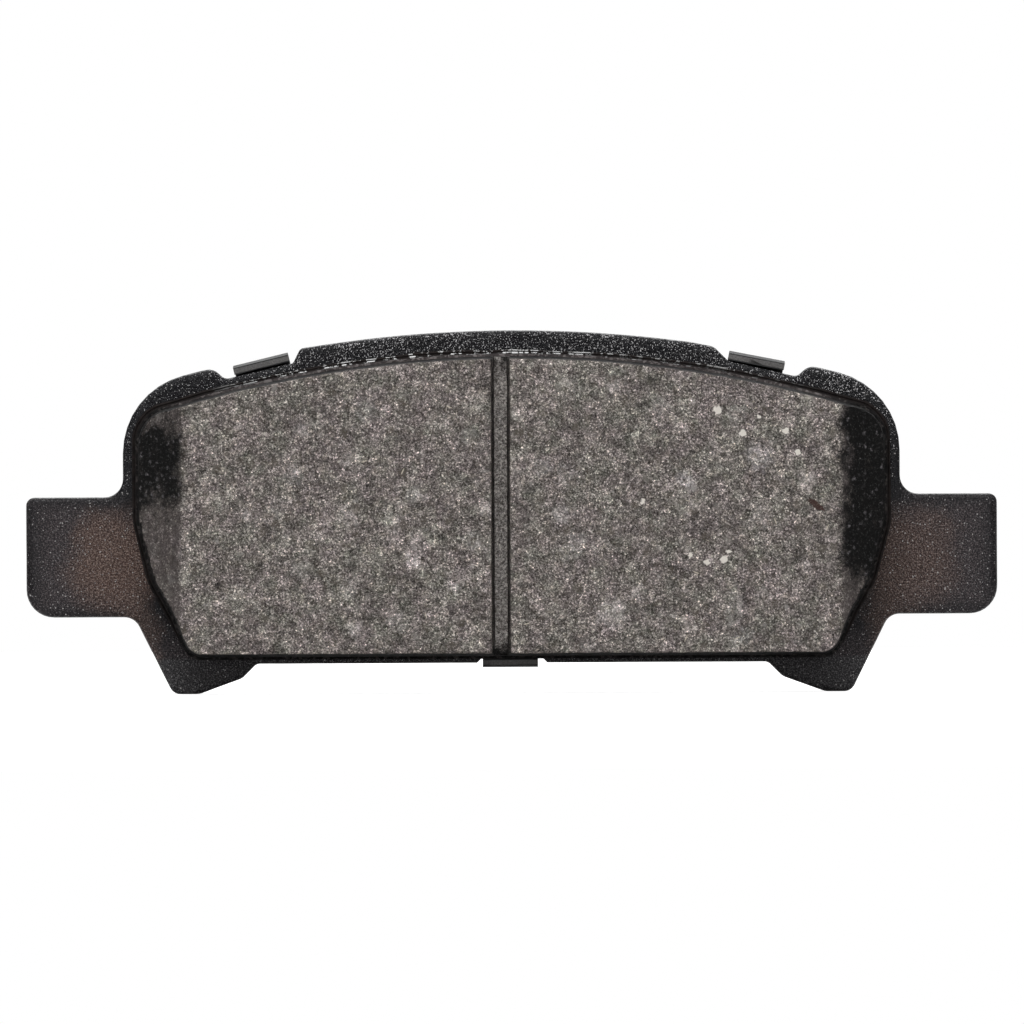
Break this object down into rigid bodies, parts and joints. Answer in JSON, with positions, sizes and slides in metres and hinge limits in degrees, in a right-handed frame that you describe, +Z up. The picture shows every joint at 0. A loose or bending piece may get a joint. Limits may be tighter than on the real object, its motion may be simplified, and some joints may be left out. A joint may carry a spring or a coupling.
{
  "type": "disc brake pad",
  "caption": "Disc brake pad: stamped backing plate with side ears, a slotted and chamfered moulded friction block, and a rubber-coated steel noise shim clipped on its back.",
  "frame": {"origin": "on the shim's outer face, midway between the two ears and at the middle of the ears' height", "axes": "+X along the pad from ear to ear, +Y out of the shim towards the caliper's piston, +Z up to the edge that lies nearest the disc's rim"},
  "size_m": [0.1052, 0.0147, 0.0393],
  "materials": {
    "backing_plate": "satin",
    "underlayer": "matte",
    "friction_block": "matte",
    "shim_rubber": "matte",
    "shim_steel": "satin"
  },
  "bodies": {
    "root": {"backing_plate": "backing_plate", "underlayer": "underlayer", "friction_block": "friction_block", "shim_inner_rubber": "shim_rubber", "shim_steel": "shim_steel", "shim_outer_rubber": "shim_rubber"}
  },
  "joints": []
}
